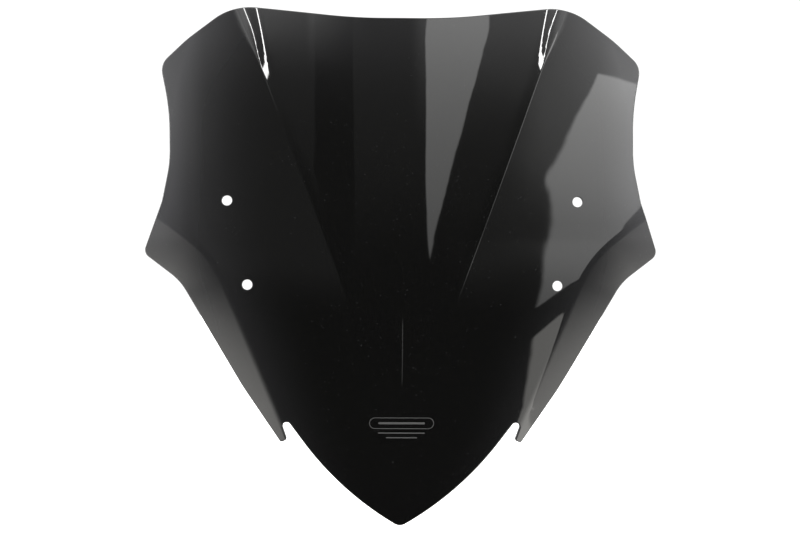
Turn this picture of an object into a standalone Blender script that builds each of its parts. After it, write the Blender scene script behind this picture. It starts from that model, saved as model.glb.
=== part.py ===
"""A tinted motorcycle windshield screen: one thermoformed acrylic sheet, trimmed, notched and drilled,
with a small printed emblem.

Frame: +Z up, and the front of the sheet faces -Y. The object is symmetric about X = 0, and its origin is the
centre of the four mounting seats, on their back faces. Lengths are in millimetres until MM turns them into
Blender's metres. A plan position is (u, z): the distance from the centre line, and the height.
"""

import math

import bmesh
import bpy
from mathutils import Vector
from mathutils.geometry import delaunay_2d_cdt

MM = 0.001

# Driving dimensions of the sheet
THICKNESS = 3.0
CENTRE_RADIUS = 200.0  # of the arched centre panel, across the sheet
FOOT_FLATNESS = 0.25  # share of the arch left at the foot of the centre panel
FOOT_FADE = (-85.0, 5.0)  # heights between which the arch flattens
KEEL_SLOPE = 0.045  # of the foot beside its ridge
KEEL_FADE = (-80.0, 0.0)  # heights between which the ridge fades out
KEEL_BEND = 4.0  # half the width of that ridge
RISE_RADIUS = 900.0  # of the centre line, up the sheet
RISE_CENTRE = 30.0  # height where the centre line stands upright
SIDE_SLOPE = 0.025  # of the side panels near the middle
SIDE_WRAP = 0.24  # further slope that a side panel gains by its outer edge
SIDE_POWER = 3  # how late it gains it
SIDE_HALF_WIDTH = 190.0
SIDE_TAPER = 0.536  # narrowing of the side panels below the origin
SIDE_TAPER_BLEND = 40.0
SHOULDER_SLOPE = 0.11  # further slope of the shoulder, where the centre panel steepens before its fold
SHOULDER_FADE = (-30.0, 15.0)  # heights between which the shoulder grows
SHOULDER_TOP_SLOPE = 0.20  # of the shoulder at the top edge
SHOULDER_TOP_FADE = (100.0, 170.0)
SHOULDER_WIDTH = 7.0
SHOULDER_BEND = 3.0
SHOULDER_SPREAD = 0.14  # widening of the shoulder for each millimetre above its start
SHOULDER_SPREAD_START = 132.0
SHOULDER_SPREAD_BLEND = 20.0
VALLEY_RADIUS = 1.0  # of the hollow fold between the centre and side panels
VALLEY_TOP_RADIUS = 12.0
VALLEY_TOP_FADE = (135.0, 170.0)
WING_SLOPE = 0.36  # further fall of the wing beyond its fold
WING_BEND = 3.0  # half the width of that fold

# Fold lines and outline, top to bottom, as corners: (u, z, radius that rounds the corner)
VALLEY_LINE = [(131.9, 198.0, 0), (40.0, -51.0, 300.0), (0.0, -128.0, 0)]
WING_LINE = [(206.0, 34.6, 0), (146.3, -11.3, 75.0), (88.0, -150.2, 0)]
OUTLINE = [
    (0.0, 173.9, 0),
    (37.0, 173.9, 420.0),
    (131.0, 184.5, 44.0),
    (166.0, 158.1, 120.0),
    (186.9, 138.2, 14.0),
    (180.1, 103.0, 180.0),
    (179.7, 62.0, 100.0),
    (185.7, 32.0, 25.0),
    (199.7, -8.4, 7.0),
    (171.5, -29.8, 45.0),
    (123.0, -111.1, 250.0),
    (93.2, -154.4, 1.8),
    (88.4, -152.6, 1.5),
    (98.6, -123.6, 3.2),
    (46.8, -192.2, 245.0),
    (0.0, -220.0, 8.5),
]

# Mounting holes, as plan positions, and the flat seats pressed round them
HOLES = {"upper": (135.6, 32.5), "lower": (119.9, -32.5)}
HOLE_RADIUS = 4.0
SEAT_FLAT = 9.0
SEAT_BLEND = 18.0

# Printed emblem on the front: a capsule ring round a bar, over two rules
INK = 0.2
INK_GAP = 0.3  # that keeps the ink's solids clear of the sheet's
RING_HEIGHT = -139.0
RING_HALF_LENGTH = 25.0
RING_HALF_WIDTH = 4.4
RING_STROKE = 0.5
BARS = {  # (height, half length, half width)
    "printed_emblem_bar": (RING_HEIGHT, 18.0, 0.8),
    "printed_rule_upper": (-146.6, 18.0, 0.4),
    "printed_rule_lower": (-150.2, 12.0, 0.4),
}

# Fineness of the solids
SHEET_PITCH = 12.0
FOLD_PITCH = 8.0
INK_PITCH = 3.0
ARC_STEP = math.radians(20)
CIRCLE_SIDES = 24
CREASE_ANGLE = math.radians(35)  # edges sharper than this aren't shaded smooth


# ---------------------------------------------------------------- plan curves


def fillet(before, corner, after, radius, longest):
    """Points of the arc that rounds a corner, an even number of steps from tangent to tangent."""
    back = (before - corner).normalized()
    ahead = (after - corner).normalized()
    turn = math.pi - back.angle(ahead)
    centre = corner + (back + ahead).normalized() * radius / math.cos(turn / 2)
    start = corner + back * radius * math.tan(turn / 2) - centre
    if back.x * ahead.y > back.y * ahead.x:
        turn = -turn
    steps = 2 * math.ceil(max(abs(turn) / ARC_STEP, abs(turn) * radius / longest) / 2)
    points = []
    for k in range(steps + 1):
        c, s = math.cos(turn * k / steps), math.sin(turn * k / steps)
        points.append(centre + Vector((c * start.x - s * start.y, s * start.x + c * start.y)))
    return points


def divided(points, longest):
    """The same run of points, with long straight stretches divided evenly."""
    result = [points[0]]
    for a, b in zip(points, points[1:]):
        parts = max(1, math.ceil((b - a).length / longest))
        result += [a.lerp(b, k / parts) for k in range(1, parts + 1)]
    return result


def rounded_line(corners, longest):
    """Corners joined by straight lines, each corner rounded to its radius."""
    places = [Vector(corner[:2]) for corner in corners]
    points = [places[0]]
    for i in range(1, len(corners) - 1):
        points += fillet(places[i - 1], places[i], places[i + 1], corners[i][2], longest)
    points.append(places[-1])
    return divided(points, longest)


def half_outline(corners, longest):
    """Right half of a symmetric outline. Its last corner lies on the centre line and is rounded too."""
    mirrored = (-corners[-2][0], corners[-2][1], 0)
    points = [p for p in rounded_line(corners + [mirrored], longest) if p.x > -1e-4]
    points[-1].x = 0.0
    return points


def circle(u, z, radius, sides=CIRCLE_SIDES):
    turns = [2 * math.pi * (k + 0.5) / sides for k in range(sides)]
    return [Vector((u + radius * math.cos(a), z + radius * math.sin(a))) for a in turns]


def capsule_half(height, half_length, half_width, longest):
    """Right half of a bar with round ends, from the top of its centre line to the bottom."""
    end = Vector((half_length - half_width, height))
    arc = []
    for k in range(13):
        turn = math.pi * k / 12
        arc.append(end + half_width * Vector((math.sin(turn), math.cos(turn))))
    ends = Vector((0.0, height + half_width)), Vector((0.0, height - half_width))
    return divided([ends[0], *arc, ends[1]], longest)


# ---------------------------------------------------------------- formed surface


def line_distance(line, u, z):
    """Signed distance from a line that runs down the sheet: positive on its outer side."""
    best, signed = math.inf, 0.0
    for a, b in zip(line, line[1:]):
        run_u, run_z = b.x - a.x, b.y - a.y
        share = ((u - a.x) * run_u + (z - a.y) * run_z) / (run_u**2 + run_z**2)
        share = min(1.0, max(0.0, share))
        off_u, off_z = u - a.x - share * run_u, z - a.y - share * run_z
        gap = math.hypot(off_u, off_z)
        if gap < best:
            best = gap
            signed = math.copysign(gap, run_u * off_z - run_z * off_u)
    return signed


def line_offset(line, z):
    """How far a line that runs down the sheet is from the centre line at a height."""
    for a, b in zip(line, line[1:]):
        if a.y >= z >= b.y:
            return a.x + (b.x - a.x) * (a.y - z) / (a.y - b.y)
    return line[0].x if z > line[0].y else line[-1].x


def bend(distance, half_width):
    """0 before a fold and the distance beyond it, with a smooth change between."""
    if abs(distance) >= half_width:
        return max(distance, 0.0)
    return (distance + half_width) ** 2 / (4 * half_width)


def ramp(value, low, high):
    """Smooth change from 0 to 1 as a value goes from low to high."""
    share = min(1.0, max(0.0, (value - low) / (high - low)))
    return share * share * (3 - 2 * share)


def ridge(u):
    """The distance from the centre line, rounded off across the ridge."""
    return u if u > KEEL_BEND else (u * u + KEEL_BEND**2) / (2 * KEEL_BEND)


def centre_panel(u, z):
    arch = FOOT_FLATNESS + (1 - FOOT_FLATNESS) * ramp(z, *FOOT_FADE)
    return KEEL_SLOPE * (1 - ramp(z, *KEEL_FADE)) * ridge(u) + arch * u * u / (2 * CENTRE_RADIUS)


def side_panel(u, z):
    half_width = SIDE_HALF_WIDTH - SIDE_TAPER * bend(-z, SIDE_TAPER_BLEND)
    wrap = (u / half_width) ** (SIDE_POWER + 1) / (SIDE_POWER + 1)
    return SIDE_SLOPE * u + SIDE_WRAP * half_width * wrap


VALLEY = rounded_line(VALLEY_LINE, FOLD_PITCH)
WING = rounded_line(WING_LINE, FOLD_PITCH)


def formed_depth(u, z):
    """Depth of the front face before the seats are pressed flat."""
    fold = line_offset(VALLEY, z)
    steep = SHOULDER_SLOPE * ramp(z, *SHOULDER_FADE)
    steep += (SHOULDER_TOP_SLOPE - SHOULDER_SLOPE) * ramp(z, *SHOULDER_TOP_FADE)
    width = SHOULDER_WIDTH + SHOULDER_SPREAD * bend(z - SHOULDER_SPREAD_START, SHOULDER_SPREAD_BLEND)
    centre = centre_panel(u, z) + steep * bend(u - fold + width, SHOULDER_BEND)
    side = centre_panel(fold, z) + steep * width + side_panel(u, z) - side_panel(fold, z)
    radius = VALLEY_RADIUS + (VALLEY_TOP_RADIUS - VALLEY_RADIUS) * ramp(z, *VALLEY_TOP_FADE)
    blend = 0.5 * radius * (fold / CENTRE_RADIUS + steep + SIDE_SLOPE) ** 2
    hollow = max(blend - abs(centre - side), 0.0) ** 2 / (4 * blend)
    rise = (z - RISE_CENTRE) ** 2 / (2 * RISE_RADIUS)
    return min(centre, side) - hollow + rise + WING_SLOPE * bend(line_distance(WING, u, z), WING_BEND)


def slopes(depth_at, u, z, step=0.25):
    """Change of depth per millimetre, outwards and upwards."""
    inner = max(u - step, 0.0)
    outwards = (depth_at(u + step, z) - depth_at(inner, z)) / (u + step - inner)
    upwards = (depth_at(u, z + step) - depth_at(u, z - step)) / (2 * step)
    return outwards, upwards


SEATS = [(u, z, formed_depth(u, z), *slopes(formed_depth, u, z)) for u, z in HOLES.values()]
SEAT_DEPTH = sum(depth for _, _, depth, _, _ in SEATS) / len(SEATS) + THICKNESS


def front_depth(u, z):
    """Depth of the finished front face in the object's frame."""
    depth = formed_depth(u, z)
    for seat_u, seat_z, seat_depth, outwards, upwards in SEATS:
        away = math.hypot(u - seat_u, z - seat_z)
        if away < SEAT_BLEND:
            share = ramp(away, SEAT_FLAT, SEAT_BLEND)
            flat = seat_depth + outwards * (u - seat_u) + upwards * (z - seat_z)
            depth = flat + (depth - flat) * share
    return depth - SEAT_DEPTH


def facing(u, z):
    """Direction that the front face looks in at (u, z)."""
    for seat_u, seat_z, _, outwards, upwards in SEATS:
        if math.hypot(u - seat_u, z - seat_z) < SEAT_FLAT + 0.1:
            return Vector((outwards, -1.0, upwards)).normalized()
    outwards, upwards = slopes(front_depth, u, z)
    return Vector((outwards if u > 0 else 0.0, -1.0, upwards)).normalized()


# ---------------------------------------------------------------- solids


def inside(loop, p):
    """Whether a point lies within a closed run of points."""
    within = False
    for a, b in zip(loop, loop[1:] + loop[:1]):
        if (a.y > p.y) != (b.y > p.y) and p.x < a.x + (b.x - a.x) * (p.y - a.y) / (b.y - a.y):
            within = not within
    return within


def beside(line, offsets):
    """Rows of plan points that follow a fold at each offset from it."""
    points = []
    for offset in offsets:
        for a, b in zip(line, line[1:]):
            along = (b - a).normalized()
            points.append((a + b) / 2 + offset * Vector((-along.y, along.x)))
    return points


def staggered_grid(loop, pitch):
    """Plan points in staggered rows over the space round a loop."""
    top = max(p.y for p in loop)
    bottom = min(p.y for p in loop)
    widest = max(p.x for p in loop)
    row_gap = pitch * math.sin(math.radians(60))
    points = []
    for j in range(math.ceil((top - bottom) / row_gap)):
        for i in range(math.ceil(widest / pitch)):
            points.append(Vector(((i + 0.5 + 0.5 * (j % 2)) * pitch, top - (j + 0.5) * row_gap)))
    return points


def triangulated(loop, holes, extras):
    """Triangles over a half plan, through its loop, its holes and the extra points that have room.

    extras holds (points, room): a point is used where it is that far from every point before it.
    """
    points, edges = [], []
    for ring in [loop, *holes]:
        first = len(points)
        edges += [(first + k, first + (k + 1) % len(ring)) for k in range(len(ring))]
        points += ring
    for candidates, room in extras:
        for p in candidates:
            if inside(loop, p) and not any(inside(hole, p) for hole in holes):
                if min((p - q).length for q in points) > room:
                    points.append(p)
    places, _, faces, *_ = delaunay_2d_cdt(points, edges, [], 0, 1e-6)
    kept = []
    for face in faces:
        middle = sum((places[i] for i in face), Vector((0.0, 0.0))) / 3
        if inside(loop, middle) and not any(inside(hole, middle) for hole in holes):
            kept.append(face)
    return places, kept


def formed_solid(name, loop, holes, extras, lift, thickness, finish):
    """A symmetric sheet that follows the formed surface, with its front face at a lift above it."""
    places, faces = triangulated(loop, holes, extras)
    form = bmesh.new()
    for sign in (1, -1):
        front, back = [], []
        for p in places:
            u = p.x if p.x > 1e-4 else 0.0
            normal = facing(u, p.y)
            face_point = Vector((u, front_depth(u, p.y), p.y)) + normal * lift
            for row, place in ((front, face_point), (back, face_point - normal * thickness)):
                row.append(form.verts.new(Vector((sign * place.x, place.y, place.z)) * MM))
        sides = {}
        for face in faces:
            order = face[::sign]
            form.faces.new([front[i] for i in order])
            form.faces.new([back[i] for i in reversed(order)])
            for a, b in zip(order, order[1:] + order[:1]):
                sides[a, b] = (b, a) not in sides
                if not sides[a, b]:
                    del sides[a, b]
                    del sides[b, a]
        for a, b in sides:
            if max(places[a].x, places[b].x) > 1e-4:
                form.faces.new([front[b], front[a], back[a]])
                form.faces.new([front[b], back[a], back[b]])
    bmesh.ops.remove_doubles(form, verts=form.verts, dist=0.001 * MM)
    bmesh.ops.recalc_face_normals(form, faces=form.faces)
    mesh = bpy.data.meshes.new(name)
    form.to_mesh(mesh)
    form.free()
    mesh.shade_smooth()
    mesh.set_sharp_from_angle(angle=CREASE_ANGLE)
    mesh.materials.append(finish)
    made = bpy.data.objects.new(name, mesh)
    bpy.context.scene.collection.objects.link(made)
    return made


def material(name, colour, roughness, alpha=1.0):
    made = bpy.data.materials.new(name)
    made.use_nodes = True
    shader = made.node_tree.nodes["Principled BSDF"]
    shader.inputs["Base Color"].default_value = (*colour, 1.0)
    shader.inputs["Metallic"].default_value = 0.0
    shader.inputs["Roughness"].default_value = roughness
    shader.inputs["Alpha"].default_value = alpha
    return made


def screen_sheet(finish):
    loop = half_outline(OUTLINE, SHEET_PITCH)
    loop += divided([loop[-1], loop[0]], SHEET_PITCH)[1:-1]
    holes = [circle(u, z, HOLE_RADIUS) for u, z in HOLES.values()]
    seats = []
    for u, z in HOLES.values():
        seats += circle(u, z, SEAT_FLAT) + circle(u, z, SEAT_BLEND)
    folds = beside(WING, (-WING_BEND, 0.0, WING_BEND))
    folds += beside(VALLEY, (-SHOULDER_WIDTH, 0.0, SHOULDER_WIDTH))
    folds += [p + Vector((KEEL_BEND, 0.0)) for p in loop if p.x == 0.0]
    extras = [(seats, 1.5), (folds, 0.4 * FOLD_PITCH), (staggered_grid(loop, SHEET_PITCH), 0.6 * SHEET_PITCH)]
    return formed_solid("screen_sheet", loop, holes, extras, 0.0, THICKNESS, finish)


def printed_ring(finish):
    outer = capsule_half(RING_HEIGHT, RING_HALF_LENGTH, RING_HALF_WIDTH, INK_PITCH)
    inner = capsule_half(
        RING_HEIGHT, RING_HALF_LENGTH - RING_STROKE, RING_HALF_WIDTH - RING_STROKE, INK_PITCH
    )
    loop = outer + inner[::-1]
    return formed_solid("printed_emblem_ring", loop, [], [], INK_GAP + INK, INK, finish)


def printed_bar(name, finish):
    loop = capsule_half(*BARS[name], INK_PITCH)
    return formed_solid(name, loop, [], [], INK_GAP + INK, INK, finish)


for old in list(bpy.data.objects):
    bpy.data.objects.remove(old)

acrylic = material("tinted_acrylic", (0.012, 0.012, 0.012), 0.05)
ink = material("silver_ink", (0.42, 0.42, 0.42), 0.4)
screen_sheet(acrylic)
printed_ring(ink)
for bar_name in BARS:
    printed_bar(bar_name, ink)
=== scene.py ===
"""Looks for the windshield screen: the fine formed sheet with polished edges, its printed emblem,
materials, floor, studio surroundings and camera.

Surface lengths are in millimetres, as in the CAD source, and MM turns them into metres. A plan position
is (u, z): the distance from the centre line, and the height.
"""

import math

import bmesh
import bpy
import numpy as np
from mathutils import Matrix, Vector
from mathutils.geometry import delaunay_2d_cdt


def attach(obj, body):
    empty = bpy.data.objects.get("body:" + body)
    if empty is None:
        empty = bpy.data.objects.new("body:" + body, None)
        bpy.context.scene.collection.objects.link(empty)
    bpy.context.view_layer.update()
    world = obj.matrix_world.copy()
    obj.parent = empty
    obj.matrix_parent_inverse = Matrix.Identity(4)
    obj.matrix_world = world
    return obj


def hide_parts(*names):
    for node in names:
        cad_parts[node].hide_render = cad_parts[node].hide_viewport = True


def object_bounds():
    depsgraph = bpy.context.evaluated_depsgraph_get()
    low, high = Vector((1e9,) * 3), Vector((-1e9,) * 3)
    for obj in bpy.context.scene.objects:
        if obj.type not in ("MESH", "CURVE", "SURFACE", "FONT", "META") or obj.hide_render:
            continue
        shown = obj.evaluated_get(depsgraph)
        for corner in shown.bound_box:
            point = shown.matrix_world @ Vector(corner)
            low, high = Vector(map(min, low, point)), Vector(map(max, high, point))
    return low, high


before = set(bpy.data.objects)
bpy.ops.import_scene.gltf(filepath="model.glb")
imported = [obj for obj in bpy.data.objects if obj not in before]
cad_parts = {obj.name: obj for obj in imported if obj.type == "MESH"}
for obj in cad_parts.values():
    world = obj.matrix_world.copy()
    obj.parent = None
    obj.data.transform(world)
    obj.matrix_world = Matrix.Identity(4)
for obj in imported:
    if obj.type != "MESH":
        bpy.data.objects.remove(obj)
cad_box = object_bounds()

MM = 0.001

# Formed surface, as in the CAD source
THICKNESS = 3.0
CENTRE_RADIUS = 200.0
FOOT_FLATNESS = 0.25
FOOT_FADE = (-85.0, 5.0)
KEEL_SLOPE = 0.045
KEEL_FADE = (-80.0, 0.0)
KEEL_BEND = 4.0
RISE_RADIUS = 900.0
RISE_CENTRE = 30.0
SIDE_SLOPE = 0.025
SIDE_WRAP = 0.24
SIDE_POWER = 3
SIDE_HALF_WIDTH = 190.0
SIDE_TAPER = 0.536
SIDE_TAPER_BLEND = 40.0
SHOULDER_SLOPE = 0.11
SHOULDER_FADE = (-30.0, 15.0)
SHOULDER_TOP_SLOPE = 0.20
SHOULDER_TOP_FADE = (100.0, 170.0)
SHOULDER_WIDTH = 7.0
SHOULDER_BEND = 3.0
SHOULDER_SPREAD = 0.14
SHOULDER_SPREAD_START = 132.0
SHOULDER_SPREAD_BLEND = 20.0
VALLEY_SLOPE = 0.03
VALLEY_RADIUS = 1.0
VALLEY_TOP_RADIUS = 12.0
VALLEY_TOP_FADE = (135.0, 170.0)
WING_SLOPE = 0.36
WING_BEND = 3.0

VALLEY_LINE = [(131.9, 198.0, 0), (40.0, -51.0, 300.0), (0.0, -128.0, 0)]
WING_LINE = [(206.0, 34.6, 0), (146.3, -11.3, 75.0), (88.0, -150.2, 0)]
OUTLINE = [
    (0.0, 173.9, 0),
    (37.0, 173.9, 420.0),
    (131.0, 184.5, 44.0),
    (166.0, 158.1, 120.0),
    (186.9, 138.2, 14.0),
    (180.1, 103.0, 180.0),
    (179.7, 62.0, 100.0),
    (185.7, 32.0, 25.0),
    (199.7, -8.4, 7.0),
    (171.5, -29.8, 45.0),
    (123.0, -111.1, 250.0),
    (93.2, -154.4, 1.8),
    (88.4, -152.6, 1.5),
    (98.6, -123.6, 3.2),
    (46.8, -192.2, 245.0),
    (0.0, -220.0, 8.5),
]
HOLES = {"upper": (135.6, 32.5), "lower": (119.9, -32.5)}
HOLE_RADIUS = 4.0

# Fine surface
PITCH = 2.2
INK_PITCH = 1.0
EDGE_RADIUS = 0.9
EDGE_STEPS = 4
HOLE_EDGE_RADIUS = 0.3
INK_EDGE_RADIUS = 0.02
INK_LIFT = 0.08
INK_THICKNESS = 0.06
RIM_STEP = 1.6
FOLD_PITCH = 3.0  # of the lines themselves
FOLD_STEP = 1.8  # of the mesh along them
FOLD_OFFSETS = (0.0, 0.4, 0.8, 1.4, 2.4, 4.0)  # of the mesh rows beside a valley
WING_OFFSETS = (0.0, 1.5, 3.0)
SLOPE_STEP = 0.2
FOLD_WAVE = 0.05
FOLD_WAVE_REACH = 45.0
SLOW_WAVE = 0.12
ARC_STEP = math.radians(7)
CIRCLE_SIDES = 64
CAPSULE_STEPS = 24
MERGE_DISTANCE = 0.002

# Emblem, as in the CAD source
RING_HEIGHT = -139.0
RING_HALF_LENGTH = 25.0
RING_HALF_WIDTH = 4.4
RING_STROKE = 0.5
BARS = {
    "printed_emblem_bar": (RING_HEIGHT, 18.0, 0.8),
    "printed_rule_upper": (-146.6, 18.0, 0.4),
    "printed_rule_lower": (-150.2, 12.0, 0.4),
}

# Colours
TINT_FOOT = (0.0017, 0.0017, 0.0016, 1.0)
TINT_TOP = (0.0026, 0.0026, 0.0025, 1.0)
# painted light: the pale tint mixed into the sheet towards its top, sides and top corners
TINT_PAINTED_LIGHT = (0.040, 0.040, 0.042, 1.0)
SPECK = (0.5, 0.5, 0.5, 1.0)
INK_DARK = (0.03, 0.03, 0.03, 1.0)
INK_PALE = (0.06, 0.06, 0.06, 1.0)
FLOOR_DARK = (0.8, 0.8, 0.8, 1.0)
FLOOR_PALE = (0.84, 0.84, 0.84, 1.0)
WHITE = (1.0, 1.0, 1.0, 1.0)
COOL_LIGHT = (1.0, 1.0, 0.99, 1.0)
WARM_LIGHT = (1.0, 0.985, 0.94, 1.0)

# Strengths of the studio's light
BACKDROP = 1.1
ROOM = 0.05
KEY_BASE, KEY_GAIN = 1.75, 7.0
LOWER_PANEL = 2.2
GLOW = 0.85
GLINT = 1.0
VEIL = 0.12
LEFT_WALL = 3.5
RIGHT_WALL = 2.5
SIDE_WALLS = 3.5
STRIPS = 30.0
TABLE = 2.8
BEHIND_LOW, BEHIND_HIGH = 0.3, 1.6

# Floor and camera, in metres
FLOOR_DROP = 0.03
FLOOR_HALF_SIZE = 30.0
CAMERA_DISTANCE = 6.0
CAMERA_TARGET = Vector((-0.0017, 0.0, -0.0180))
CAMERA_AZIMUTH = math.radians(-3.0)
CAMERA_ROLL = math.radians(-0.25)
CAMERA_FIELD = 0.6176
SENSOR_WIDTH = 36.0  # millimetres


# ---------------------------------------------------------------- plan curves


def fillet(before, corner, after, radius, longest):
    """Points of the arc that rounds a corner, an even number of steps from tangent to tangent."""
    back = (before - corner).normalized()
    ahead = (after - corner).normalized()
    turn = math.pi - back.angle(ahead)
    centre = corner + (back + ahead).normalized() * radius / math.cos(turn / 2)
    start = corner + back * radius * math.tan(turn / 2) - centre
    if back.x * ahead.y > back.y * ahead.x:
        turn = -turn
    steps = 2 * math.ceil(max(abs(turn) / ARC_STEP, abs(turn) * radius / longest) / 2)
    points = []
    for k in range(steps + 1):
        c, s = math.cos(turn * k / steps), math.sin(turn * k / steps)
        points.append(centre + Vector((c * start.x - s * start.y, s * start.x + c * start.y)))
    return points


def divided(points, longest):
    """The same run of points, with long straight stretches divided evenly."""
    result = [points[0]]
    for a, b in zip(points, points[1:]):
        parts = max(1, math.ceil((b - a).length / longest))
        result += [a.lerp(b, k / parts) for k in range(1, parts + 1)]
    return result


def rounded_line(corners, longest):
    """Corners joined by straight lines, each corner rounded to its radius."""
    places = [Vector(corner[:2]) for corner in corners]
    points = [places[0]]
    for i in range(1, len(corners) - 1):
        points += fillet(places[i - 1], places[i], places[i + 1], corners[i][2], longest)
    points.append(places[-1])
    return divided(points, longest)


def half_outline(corners, longest):
    """Right half of a symmetric outline. Its last corner lies on the centre line and is rounded too."""
    mirrored = (-corners[-2][0], corners[-2][1], 0)
    points = [p for p in rounded_line(corners + [mirrored], longest) if p.x > -1e-4]
    points[-1].x = 0.0
    return points


def circle(u, z, radius, sides=CIRCLE_SIDES):
    turns = [2 * math.pi * (k + 0.5) / sides for k in range(sides)]
    return [Vector((u + radius * math.cos(a), z + radius * math.sin(a))) for a in turns]


def capsule_half(height, half_length, half_width, longest):
    """Right half of a bar with round ends, from the top of its centre line to the bottom."""
    end = Vector((half_length - half_width, height))
    arc = []
    for k in range(CAPSULE_STEPS + 1):
        turn = math.pi * k / CAPSULE_STEPS
        arc.append(end + half_width * Vector((math.sin(turn), math.cos(turn))))
    ends = Vector((0.0, height + half_width)), Vector((0.0, height - half_width))
    return divided([ends[0], *arc, ends[1]], longest)


# ---------------------------------------------------------------- formed surface, on arrays


def line_distance(line, u, z):
    """Signed distance from a line that runs down the sheet: positive on its outer side."""
    best = np.full(u.shape, np.inf)
    signed = np.zeros(u.shape)
    for a, b in zip(line, line[1:]):
        run_u, run_z = b.x - a.x, b.y - a.y
        share = np.clip(((u - a.x) * run_u + (z - a.y) * run_z) / (run_u**2 + run_z**2), 0.0, 1.0)
        off_u, off_z = u - a.x - share * run_u, z - a.y - share * run_z
        gap = np.hypot(off_u, off_z)
        nearer = gap < best
        best = np.where(nearer, gap, best)
        signed = np.where(nearer, np.copysign(gap, run_u * off_z - run_z * off_u), signed)
    return signed


def line_offset(line, z):
    """How far a line that runs down the sheet is from the centre line at a height."""
    return np.interp(z, [p.y for p in reversed(line)], [p.x for p in reversed(line)])


def bend(distance, half_width):
    """0 before a fold and the distance beyond it, with a smooth change between."""
    near = (distance + half_width) ** 2 / (4 * half_width)
    return np.where(np.abs(distance) >= half_width, np.maximum(distance, 0.0), near)


def ramp(value, low, high):
    """Smooth change from 0 to 1 as a value goes from low to high."""
    share = np.clip((value - low) / (high - low), 0.0, 1.0)
    return share * share * (3 - 2 * share)


def centre_panel(u, z):
    arch = FOOT_FLATNESS + (1 - FOOT_FLATNESS) * ramp(z, *FOOT_FADE)
    ridge = np.where(u > KEEL_BEND, u, (u * u + KEEL_BEND**2) / (2 * KEEL_BEND))
    return KEEL_SLOPE * (1 - ramp(z, *KEEL_FADE)) * ridge + arch * u * u / (2 * CENTRE_RADIUS)


def side_panel(u, z):
    half_width = SIDE_HALF_WIDTH - SIDE_TAPER * bend(-z, SIDE_TAPER_BLEND)
    wrap = (u / half_width) ** (SIDE_POWER + 1) / (SIDE_POWER + 1)
    return SIDE_SLOPE * u + SIDE_WRAP * half_width * wrap


VALLEY = rounded_line(VALLEY_LINE, FOLD_PITCH)
WING = rounded_line(WING_LINE, FOLD_PITCH)


def waviness(u, z):
    """The slight unevenness that forming leaves, most along the folds."""
    near_fold = np.exp(-(((u - line_offset(VALLEY, z)) / FOLD_WAVE_REACH) ** 2))
    wave = np.sin(u / 11.0 + z / 23.0) * np.sin(z / 14.0 - u / 31.0 + 1.0)
    slow = np.sin(u / 26.0 - 0.7) * np.sin(z / 33.0 + 0.4)
    return FOLD_WAVE * near_fold * wave + SLOW_WAVE * slow


def formed_depth(u, z):
    fold = line_offset(VALLEY, z)
    steep = SHOULDER_SLOPE * ramp(z, *SHOULDER_FADE)
    steep += (SHOULDER_TOP_SLOPE - SHOULDER_SLOPE) * ramp(z, *SHOULDER_TOP_FADE)
    width = SHOULDER_WIDTH + SHOULDER_SPREAD * bend(z - SHOULDER_SPREAD_START, SHOULDER_SPREAD_BLEND)
    centre = centre_panel(u, z) + steep * bend(u - fold + width, SHOULDER_BEND)
    side = centre_panel(fold, z) + steep * width + side_panel(u, z) - side_panel(fold, z)
    radius = VALLEY_RADIUS + (VALLEY_TOP_RADIUS - VALLEY_RADIUS) * ramp(z, *VALLEY_TOP_FADE)
    blend = 0.5 * radius * (fold / CENTRE_RADIUS + steep + VALLEY_SLOPE) ** 2
    hollow = np.maximum(blend - np.abs(centre - side), 0.0) ** 2 / (4 * blend)
    rise = (z - RISE_CENTRE) ** 2 / (2 * RISE_RADIUS)
    wing = WING_SLOPE * bend(line_distance(WING, u, z), WING_BEND)
    return np.minimum(centre, side) - hollow + rise + wing


def slopes(depth_at, u, z, step=SLOPE_STEP):
    """Change of depth per millimetre, outwards and upwards."""
    inner = np.maximum(u - step, 0.0)
    outwards = (depth_at(u + step, z) - depth_at(inner, z)) / (u + step - inner)
    upwards = (depth_at(u, z + step) - depth_at(u, z - step)) / (2 * step)
    return outwards, upwards


HOLE_PLACES = np.array(list(HOLES.values()))
SEAT_DEPTH = THICKNESS + formed_depth(HOLE_PLACES[:, 0], HOLE_PLACES[:, 1]).mean()


def front_depth(u, z):
    """Depth of the finished front face in the object's frame, without the flats round the holes."""
    return formed_depth(u, z) + waviness(u, z) - SEAT_DEPTH


def front_normals(u, z):
    outwards, upwards = slopes(front_depth, u, z)
    outwards = np.where(u > 0, outwards, 0.0)
    normals = np.stack([outwards, -np.ones(u.shape), upwards], axis=1)
    return normals / np.linalg.norm(normals, axis=1, keepdims=True)


# ---------------------------------------------------------------- solids


def inside(loop, points):
    """Which of the points (an array of pairs) lie within a closed run of points."""
    within = np.zeros(len(points), dtype=bool)
    u, z = points[:, 0], points[:, 1]
    for a, b in zip(loop, loop[1:] + loop[:1]):
        if a.y != b.y:
            crosses = ((a.y > z) != (b.y > z)) & (u < a.x + (b.x - a.x) * (z - a.y) / (b.y - a.y))
            within ^= crosses
    return within


def staggered_grid(loop, pitch):
    top = max(p.y for p in loop)
    bottom = min(p.y for p in loop)
    widest = max(p.x for p in loop)
    row_gap = pitch * math.sin(math.radians(60))
    rows = np.arange(math.ceil((top - bottom) / row_gap))
    columns = np.arange(math.ceil(widest / pitch) + 1)
    row, column = np.meshgrid(rows, columns, indexing="ij")
    u = (column + 0.5 + 0.5 * (row % 2)) * pitch
    return np.stack([u.ravel(), (top - (row + 0.5) * row_gap).ravel()], axis=1)


def fold_points(line, offsets):
    """Points in rows along a fold, close together across it."""
    points = []
    run = divided(line, FOLD_STEP)
    for a, b in zip(run, run[1:]):
        across = Vector((b.y - a.y, a.x - b.x)).normalized()
        for offset in offsets:
            sides = (1, -1) if offset else (1,)
            points += [a + across * side * offset for side in sides]
    return np.array([tuple(p) for p in points])


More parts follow.
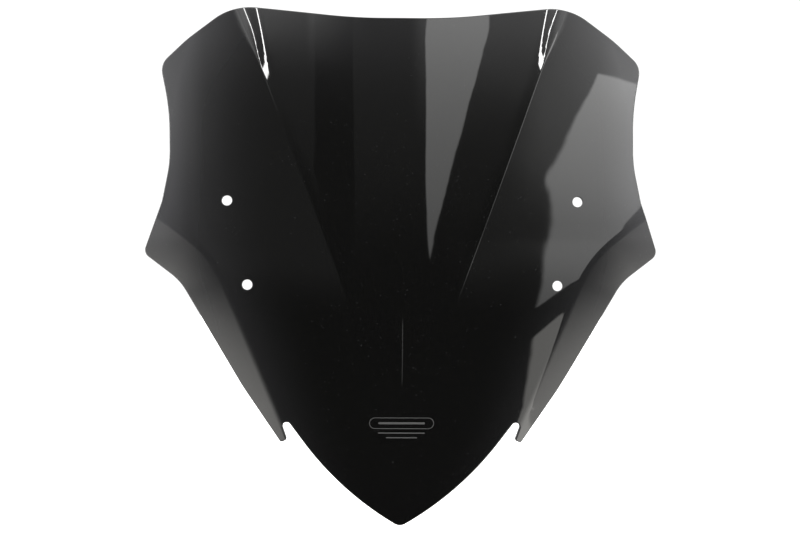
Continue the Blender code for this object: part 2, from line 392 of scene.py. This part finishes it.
def outward(loop, k, closed, flip):
    """Unit plan direction out of the material at point k of a boundary."""
    count = len(loop)
    before = loop[(k - 1) % count] if closed or k > 0 else Vector((-loop[1].x, loop[1].y))
    after = loop[(k + 1) % count] if closed or k < count - 1 else Vector((-loop[-2].x, loop[-2].y))
    along = (loop[k] - before).normalized() + (after - loop[k]).normalized()
    out = Vector((-along.y, along.x)).normalized() * flip
    if not closed and k in (0, count - 1):
        out = Vector((0.0, math.copysign(1.0, out.y)))
    return out


def boundary(loop, closed, flip, radius):
    """A run of points, its outward directions, and the same run moved in by the radius of its edge."""
    outs = [outward(loop, k, closed, flip) for k in range(len(loop))]
    inset = [p - out * radius for p, out in zip(loop, outs)]
    return loop, outs, closed, radius, inset


def plan_faces(around, hole_loops, pitch, folds):
    """Points and triangles over the half plan, inside one loop and outside the others.

    Each fold is (line, offsets), with a row of points along its line at every offset.
    """
    points, edges = [], []
    for ring in [around, *hole_loops]:
        first = len(points)
        edges += [(first + k, first + (k + 1) % len(ring)) for k in range(len(ring))]
        points += ring
    fixed = np.array([tuple(p) for p in points])

    def on_sheet(places):
        within = inside(around, places)
        for loop in hole_loops:
            within &= ~inside(loop, places)
        return within

    grid = staggered_grid(around, pitch)
    for line, offsets in folds:
        clear = np.abs(line_distance(line, grid[:, 0], grid[:, 1])) > offsets[-1] + 0.5 * pitch
        grid = np.concatenate([grid[clear], fold_points(line, offsets)])
    grid = grid[on_sheet(grid)]
    for u, z in grid:
        if np.min(np.hypot(fixed[:, 0] - u, fixed[:, 1] - z)) > 0.5 * pitch:
            points.append(Vector((u, z)))
    places, _, faces, *_ = delaunay_2d_cdt(points, edges, [], 0, 1e-6)
    flat = np.array([tuple(p) for p in places])
    middles = np.array([flat[list(face)].mean(axis=0) for face in faces])
    return flat, [face for face, kept in zip(faces, on_sheet(middles)) if kept]


class Skin:
    """The right half of a solid that follows the formed surface: points, their normals, and faces."""

    def __init__(self, lift, thickness):
        self.lift = lift
        self.thickness = thickness
        self.verts = []
        self.normals = []
        self.polys = []

    def add_row(self, plan, depth, tilt, outs=None):
        """Adds points at a depth below the front, with normals tilted away from the front's.

        Returns the number of the first point.
        """
        u = np.maximum(plan[:, 0], 0.0)
        base = np.stack([u, front_depth(u, plan[:, 1]), plan[:, 1]], axis=1)
        facing = front_normals(u, plan[:, 1])
        direction = facing * math.cos(tilt)
        if outs is not None:
            side = np.stack([outs[:, 0], np.zeros(len(outs)), outs[:, 1]], axis=1)
            side -= facing * np.sum(side * facing, axis=1, keepdims=True)
            side /= np.linalg.norm(side, axis=1, keepdims=True)
            direction = direction + side * math.sin(tilt)
        start = len(self.verts)
        self.verts.extend((base + facing * (self.lift - depth)).tolist())
        self.normals.extend(direction.tolist())
        return start

    def add_faces(self, flat, faces):
        front = self.add_row(flat, 0.0, 0.0)
        back = self.add_row(flat, self.thickness, math.pi)
        for face in faces:
            self.polys.append([front + i for i in face])
            self.polys.append([back + i for i in reversed(face)])

    def add_edge(self, loop, outs, closed, radius):
        """Joins the front and the back round a boundary, over edges rounded to a radius."""
        out_array = np.array([tuple(out) for out in outs])
        loop_array = np.array([tuple(p) for p in loop])
        tilts = [0.5 * math.pi * k / EDGE_STEPS for k in range(EDGE_STEPS + 1)]
        rows = []
        for tilt in tilts:
            plan = loop_array - out_array * radius * (1 - math.sin(tilt))
            rows.append(self.add_row(plan, radius * (1 - math.cos(tilt)), tilt, out_array))
        for tilt in reversed(tilts):
            plan = loop_array - out_array * radius * (1 - math.sin(tilt))
            depth = self.thickness - radius * (1 - math.cos(tilt))
            rows.append(self.add_row(plan, depth, math.pi - tilt, out_array))
        count = len(loop)
        for upper, lower in zip(rows, rows[1:]):
            for k in range(count if closed else count - 1):
                j = (k + 1) % count
                self.polys.append([upper + k, upper + j, lower + j, lower + k])

    def finished(self, name):
        """The object made of this half and its mirror image, with the normals of the true surface."""
        total = len(self.verts)
        verts = np.array(self.verts)
        verts = np.concatenate([verts, verts * [-1, 1, 1]])
        normals = np.array(self.normals)
        normals = np.concatenate([normals, normals * [-1, 1, 1]])
        mirrored = [[total + i for i in reversed(poly)] for poly in self.polys]
        mesh = bpy.data.meshes.new(name)
        mesh.from_pydata((verts * MM).tolist(), [], self.polys + mirrored)
        layer = mesh.attributes.new("facing", "FLOAT_VECTOR", "POINT")
        layer.data.foreach_set("vector", normals.ravel())
        form = bmesh.new()
        form.from_mesh(mesh)
        bmesh.ops.remove_doubles(form, verts=form.verts, dist=MERGE_DISTANCE * MM)
        bmesh.ops.recalc_face_normals(form, faces=form.faces)
        form.to_mesh(mesh)
        form.free()
        mesh.shade_smooth()
        merged = np.zeros(len(mesh.vertices) * 3)
        mesh.attributes["facing"].data.foreach_get("vector", merged)
        merged = merged.reshape(-1, 3)
        merged /= np.linalg.norm(merged, axis=1, keepdims=True)
        mesh.attributes.remove(mesh.attributes["facing"])
        mesh.normals_split_custom_set_from_vertices(merged.tolist())
        made = bpy.data.objects.new(name, mesh)
        bpy.context.scene.collection.objects.link(made)
        return made


def formed_solid(name, rim, holes, pitch, lift, thickness, edge, joined=None, folds=()):
    """A symmetric sheet over the formed surface, lift above it, with its edges rounded to the radius edge.

    rim runs down the half outline from the top of the centre line to its foot. joined, where given, is the
    inner rim of a ring, run the same way.
    """
    outer = boundary(rim, False, 1.0, edge)
    rims = [outer] + [boundary(hole, True, 1.0, HOLE_EDGE_RADIUS) for hole in holes]
    hole_loops = [inset for *_, inset in rims[1:]]
    start, end = outer[-1][0], outer[-1][-1]
    if joined:
        rims.append(boundary(joined, False, -1.0, edge))
        around = outer[-1] + rims[-1][-1][::-1]
    else:
        around = outer[-1] + divided([end, start], pitch)[1:-1]
    skin = Skin(lift, thickness)
    skin.add_faces(*plan_faces(around, hole_loops, pitch, folds))
    for loop, outs, closed, radius, _ in rims:
        skin.add_edge(loop, outs, closed, radius)
    return skin.finished(name)


# ---------------------------------------------------------------- materials


class Nodes:
    """Short calls for wiring a node tree."""

    def __init__(self, tree):
        self.tree = tree

    def add(self, kind, settings=None, **inputs):
        node = self.tree.nodes.new(kind)
        for key, value in (settings or {}).items():
            setattr(node, key, value)
        for key, value in inputs.items():
            self.feed(node, key, value)
        return node

    def feed(self, node, key, value):
        socket = node.inputs[int(key[1:])] if key[0] == "i" and key[1:].isdigit() else node.inputs[key]
        if isinstance(value, bpy.types.NodeSocket):
            self.tree.links.new(value, socket)
        else:
            socket.default_value = value

    def math(self, operation, *values):
        node = self.add("ShaderNodeMath", {"operation": operation})
        for i, value in enumerate(values):
            self.feed(node, f"i{i}", value)
        return node.outputs[0]

    def ramp(self, value, low, high, start=0.0, end=1.0):
        """Smooth change from start to end as value goes from low to high."""
        node = self.add("ShaderNodeMapRange", {"interpolation_type": "SMOOTHSTEP"})
        for i, item in enumerate((value, low, high, start, end)):
            self.feed(node, f"i{i}", item)
        return node.outputs[0]

    def noise(self, vector, scale, detail=2.0):
        node = self.add("ShaderNodeTexNoise", Vector=vector, Scale=scale, Detail=detail)
        return node.outputs["Fac"]

    def mix(self, factor, first, second):
        node = self.add("ShaderNodeMix", {"data_type": "RGBA"})
        self.feed(node, "i0", factor)
        self.feed(node, "i6", first)
        self.feed(node, "i7", second)
        return node.outputs[2]


def new_material(name):
    made = bpy.data.materials.new(name)
    made.use_nodes = True
    return made, Nodes(made.node_tree), made.node_tree.nodes["Principled BSDF"]


def tinted_acrylic():
    """Nearly black gloss, with a pale tint of painted light towards the top and the sides, and most at the
    top corners.
    """
    made, n, shader = new_material("tinted_acrylic_fine")
    place = n.add("ShaderNodeTexCoord").outputs["Object"]
    axes = n.add("ShaderNodeSeparateXYZ", Vector=place)
    across = n.math("ABSOLUTE", axes.outputs["X"])
    height = axes.outputs["Z"]
    # painted light: a pale tint mixed in towards the top, the sides, the top corners and the upper side
    # edges
    top_painted_light = n.math("POWER", n.ramp(height, 0.0, 0.19), 5.0)
    inwards = n.math("MULTIPLY", n.math("MINIMUM", height, 0.0), -0.35)
    side_painted_light = n.ramp(n.math("ADD", across, inwards), 0.08, 0.2)
    side_painted_light = n.math("POWER", side_painted_light, 1.8)
    corner_painted_light = n.math("MULTIPLY", n.math("MULTIPLY", top_painted_light, side_painted_light), 3.5)
    painted_light = n.math("ADD", n.math("MULTIPLY", side_painted_light, 1.9), n.math("ADD", top_painted_light, corner_painted_light))
    edge_painted_light = n.math("MULTIPLY", n.ramp(across, 0.15, 0.2), n.ramp(height, -0.03, 0.05))
    painted_light = n.math("MINIMUM", n.math("ADD", n.math("MULTIPLY", painted_light, 0.25), edge_painted_light), 1.0)
    smudge = n.noise(place, 14.0, 3.0)
    specks = n.ramp(n.noise(place, 900.0, 1.0), 0.74, 0.8)
    dark = n.mix(n.ramp(height, -0.1, 0.12), TINT_FOOT, TINT_TOP)
    # the pale tint of the painted light mixed over the dark base
    tint = n.mix(painted_light, dark, TINT_PAINTED_LIGHT)
    tint = n.mix(n.math("MULTIPLY", specks, 0.05), tint, SPECK)
    n.feed(shader, "Base Color", tint)
    rough = n.ramp(smudge, 0.3, 0.75, 0.012, 0.04)
    n.feed(shader, "Roughness", n.math("ADD", rough, n.math("MULTIPLY", specks, 0.2)))
    shader.inputs["IOR"].default_value = 1.49
    ripple = n.noise(place, 60.0, 1.0)
    bump = n.add("ShaderNodeBump", Height=ripple, Strength=0.02, Distance=0.001)
    n.feed(shader, "Normal", bump.outputs["Normal"])
    return made


def silver_ink():
    made, n, shader = new_material("silver_ink_fine")
    place = n.add("ShaderNodeTexCoord").outputs["Object"]
    grain = n.noise(place, 2500.0, 2.0)
    n.feed(shader, "Base Color", n.mix(grain, INK_DARK, INK_PALE))
    n.feed(shader, "Roughness", n.ramp(grain, 0.2, 0.8, 0.35, 0.6))
    bump = n.add("ShaderNodeBump", Height=grain, Strength=0.15, Distance=0.0001)
    n.feed(shader, "Normal", bump.outputs["Normal"])
    return made


# ---------------------------------------------------------------- pieces


def fit_out(piece, node, finish):
    piece.data.materials.append(finish)
    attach(piece, "root")
    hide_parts(node)


def screen_sheet(finish):
    rim = half_outline(OUTLINE, RIM_STEP)
    holes = [circle(u, z, HOLE_RADIUS) for u, z in HOLES.values()]
    folds = [(VALLEY, FOLD_OFFSETS), (WING, WING_OFFSETS)]
    sheet = formed_solid("formed_screen", rim, holes, PITCH, 0.0, THICKNESS, EDGE_RADIUS, folds=folds)
    fit_out(sheet, "screen_sheet", finish)


def inked(name, rim, node, finish, joined=None):
    sizes = (INK_PITCH, INK_LIFT, INK_THICKNESS, INK_EDGE_RADIUS)
    fit_out(formed_solid(name, rim, [], *sizes, joined=joined), node, finish)


def emblem(finish):
    inner_sizes = (RING_HALF_LENGTH - RING_STROKE, RING_HALF_WIDTH - RING_STROKE)
    outer = capsule_half(RING_HEIGHT, RING_HALF_LENGTH, RING_HALF_WIDTH, INK_PITCH)
    inner = capsule_half(RING_HEIGHT, *inner_sizes, INK_PITCH)
    inked("emblem_ring", outer, "printed_emblem_ring", finish, joined=inner)
    for node, sizes in BARS.items():
        inked(node.replace("printed", "inked"), capsule_half(*sizes, INK_PITCH), node, finish)


# ---------------------------------------------------------------- studio


def studio_world():
    """White backdrop for the camera, and for reflections a dark room with soft panels.

    A direction d is placed by (a, b) = (d.x, d.z) / (1 - d.y), which is the slope of the surface that
    reflects it towards a viewer in front. The numbers below are such slopes.
    """
    world = bpy.data.worlds.new("studio")
    world.use_nodes = True
    bpy.context.scene.world = world
    n = Nodes(world.node_tree)
    for node in list(world.node_tree.nodes):
        world.node_tree.nodes.remove(node)
    toward = n.add("ShaderNodeTexCoord").outputs["Generated"]
    axes = n.add("ShaderNodeSeparateXYZ", Vector=toward)
    rest = n.math("MAXIMUM", n.math("SUBTRACT", 1.0, axes.outputs["Y"]), 0.02)
    a = n.math("DIVIDE", axes.outputs["X"], rest)
    b = n.math("DIVIDE", axes.outputs["Z"], rest)
    wide = n.math("ABSOLUTE", a)

    def line(weight_a, weight_b, limit, soft=0.004):
        """1 on the side where weight_a * a + weight_b * b is over the limit."""
        value = n.math("ADD", n.math("MULTIPLY", a, weight_a), n.math("MULTIPLY", b, weight_b))
        return n.ramp(value, limit - soft, limit + soft)

    def band(value, low, high, soft):
        """1 between low and high, with soft ends inside them."""
        return n.math("MULTIPLY", n.ramp(value, low, low + soft), n.ramp(value, high, high - soft))

    def product(*values):
        result = values[0]
        for value in values[1:]:
            result = n.math("MULTIPLY", result, value)
        return result

    def total(*values):
        result = values[0]
        for value in values[1:]:
            result = n.math("ADD", result, value)
        return result

    # large soft panel at the right, above the table's horizon, and its reflection in the table below
    key_light = n.math("ADD", n.math("MULTIPLY", b, KEY_GAIN), KEY_BASE)
    left_edge = product(line(1, 0.09, 0.121), line(1, -0.5, 0.028), line(1, 0.30, 0.104, 0.006))
    upper_right = product(line(-1, 1.14, -0.176), line(-1, 0, -0.37))
    upper_panel = product(upper_right, line(-0.23, -1, -0.372), line(0, 1, -0.045), key_light)
    lower_left = product(line(1, 0, 0.135, 0.006), line(1, -1.36, 0.275, 0.006))
    lower_panel = product(lower_left, line(-1, -1.2, -0.085), line(0, -1, 0.064, 0.005), LOWER_PANEL)
    # softer light round it, a narrow bright gap low down, and a faint veil at the left
    glow = product(n.ramp(a, 0.04, 0.12), n.ramp(b, 0.05, 0.25), GLOW)
    glint = product(band(a, 0.023, 0.029, 0.0015), band(b, -0.16, -0.10, 0.01), GLINT)
    veiled = n.math("ADD", n.ramp(a, -0.17, -0.165), n.ramp(a, -0.315, -0.325))
    veil = product(veiled, n.ramp(b, -0.06, 0.1), VEIL)
    # walls that grow brighter to the sides, high up, with a dimmer stretch in each
    dimmed = total(0.5, n.ramp(wide, 0.36, 0.32, 0.0, 0.5), n.ramp(wide, 0.56, 0.6, 0.0, 0.5))
    left_wall = product(n.ramp(a, -0.07, -0.5, 0.0, LEFT_WALL), n.ramp(b, 0.12, 0.26), dimmed)
    right_wall = product(n.ramp(a, 0.07, 0.5, 0.0, RIGHT_WALL), n.ramp(b, 0.2, 0.32), dimmed)
    side_walls = n.ramp(wide, 0.75, 1.2, 0.0, SIDE_WALLS)
    # narrow bright strips, one at each side
    both_strips = n.math("ADD", band(a, -0.67, -0.635, 0.005), band(a, 0.745, 0.78, 0.005))
    strips = product(both_strips, band(b, 0.08, 0.52, 0.02), STRIPS)
    # pale table round the sides
    table = product(n.ramp(wide, 0.2, 0.5), n.ramp(b, -0.12, -0.4, 0.0, TABLE))
    # all of that is ahead of the sheet, and behind it the room is dim and a little brighter higher up
    ahead = n.ramp(rest, 0.35, 0.9)
    rising = n.ramp(axes.outputs["Z"], -0.3, 0.5, BEHIND_LOW, BEHIND_HIGH)
    behind = product(n.ramp(rest, 0.9, 0.35), rising)
    walls = total(left_wall, right_wall, side_walls)
    cool = total(ROOM, product(left_edge, upper_panel), glow, glint, veil, walls, strips)
    cool = n.math("ADD", product(cool, ahead), behind)
    warm = product(total(product(left_edge, lower_panel), table), ahead)
    cool_light = n.add("ShaderNodeBackground", Color=COOL_LIGHT, Strength=cool)
    warm_light = n.add("ShaderNodeBackground", Color=WARM_LIGHT, Strength=warm)
    both = n.add("ShaderNodeAddShader", i0=cool_light.outputs[0], i1=warm_light.outputs[0])
    white = n.add("ShaderNodeBackground", Color=WHITE, Strength=BACKDROP)
    seen = n.add("ShaderNodeLightPath").outputs["Is Camera Ray"]
    chosen = n.add("ShaderNodeMixShader", i0=seen, i1=both.outputs[0], i2=white.outputs[0])
    output = n.add("ShaderNodeOutputWorld")
    n.feed(output, "Surface", chosen.outputs[0])


def floor(height):
    """Plain pale floor, which only the camera and diffuse light see."""
    mesh = bpy.data.meshes.new("floor")
    signs = ((-1, -1), (1, -1), (1, 1), (-1, 1))
    corners = [(x * FLOOR_HALF_SIZE, y * FLOOR_HALF_SIZE, height) for x, y in signs]
    mesh.from_pydata(corners, [], [(0, 1, 2, 3)])
    made = bpy.data.objects.new("floor", mesh)
    bpy.context.scene.collection.objects.link(made)
    finish, n, shader = new_material("pale_floor")
    place = n.add("ShaderNodeTexCoord").outputs["Object"]
    n.feed(shader, "Base Color", n.mix(n.noise(place, 3.0), FLOOR_DARK, FLOOR_PALE))
    shader.inputs["Roughness"].default_value = 0.9
    shader.inputs["Emission Color"].default_value = WHITE
    shader.inputs["Emission Strength"].default_value = 0.75
    mesh.materials.append(finish)
    made.visible_glossy = False


def camera():
    data = bpy.data.cameras.new("camera")
    data.sensor_width = SENSOR_WIDTH
    data.lens = SENSOR_WIDTH * CAMERA_DISTANCE / CAMERA_FIELD
    data.clip_end = 100.0
    made = bpy.data.objects.new("camera", data)
    back = Vector((math.sin(CAMERA_AZIMUTH), -math.cos(CAMERA_AZIMUTH), 0.0))
    made.location = CAMERA_TARGET + back * CAMERA_DISTANCE
    made.rotation_euler = (math.pi / 2, CAMERA_ROLL, CAMERA_AZIMUTH)
    bpy.context.scene.collection.objects.link(made)
    bpy.context.scene.camera = made


screen_sheet(tinted_acrylic())
emblem(silver_ink())
studio_world()
floor(cad_box[0].z - FLOOR_DROP)
camera()
bpy.context.scene.view_settings.view_transform = "Standard"
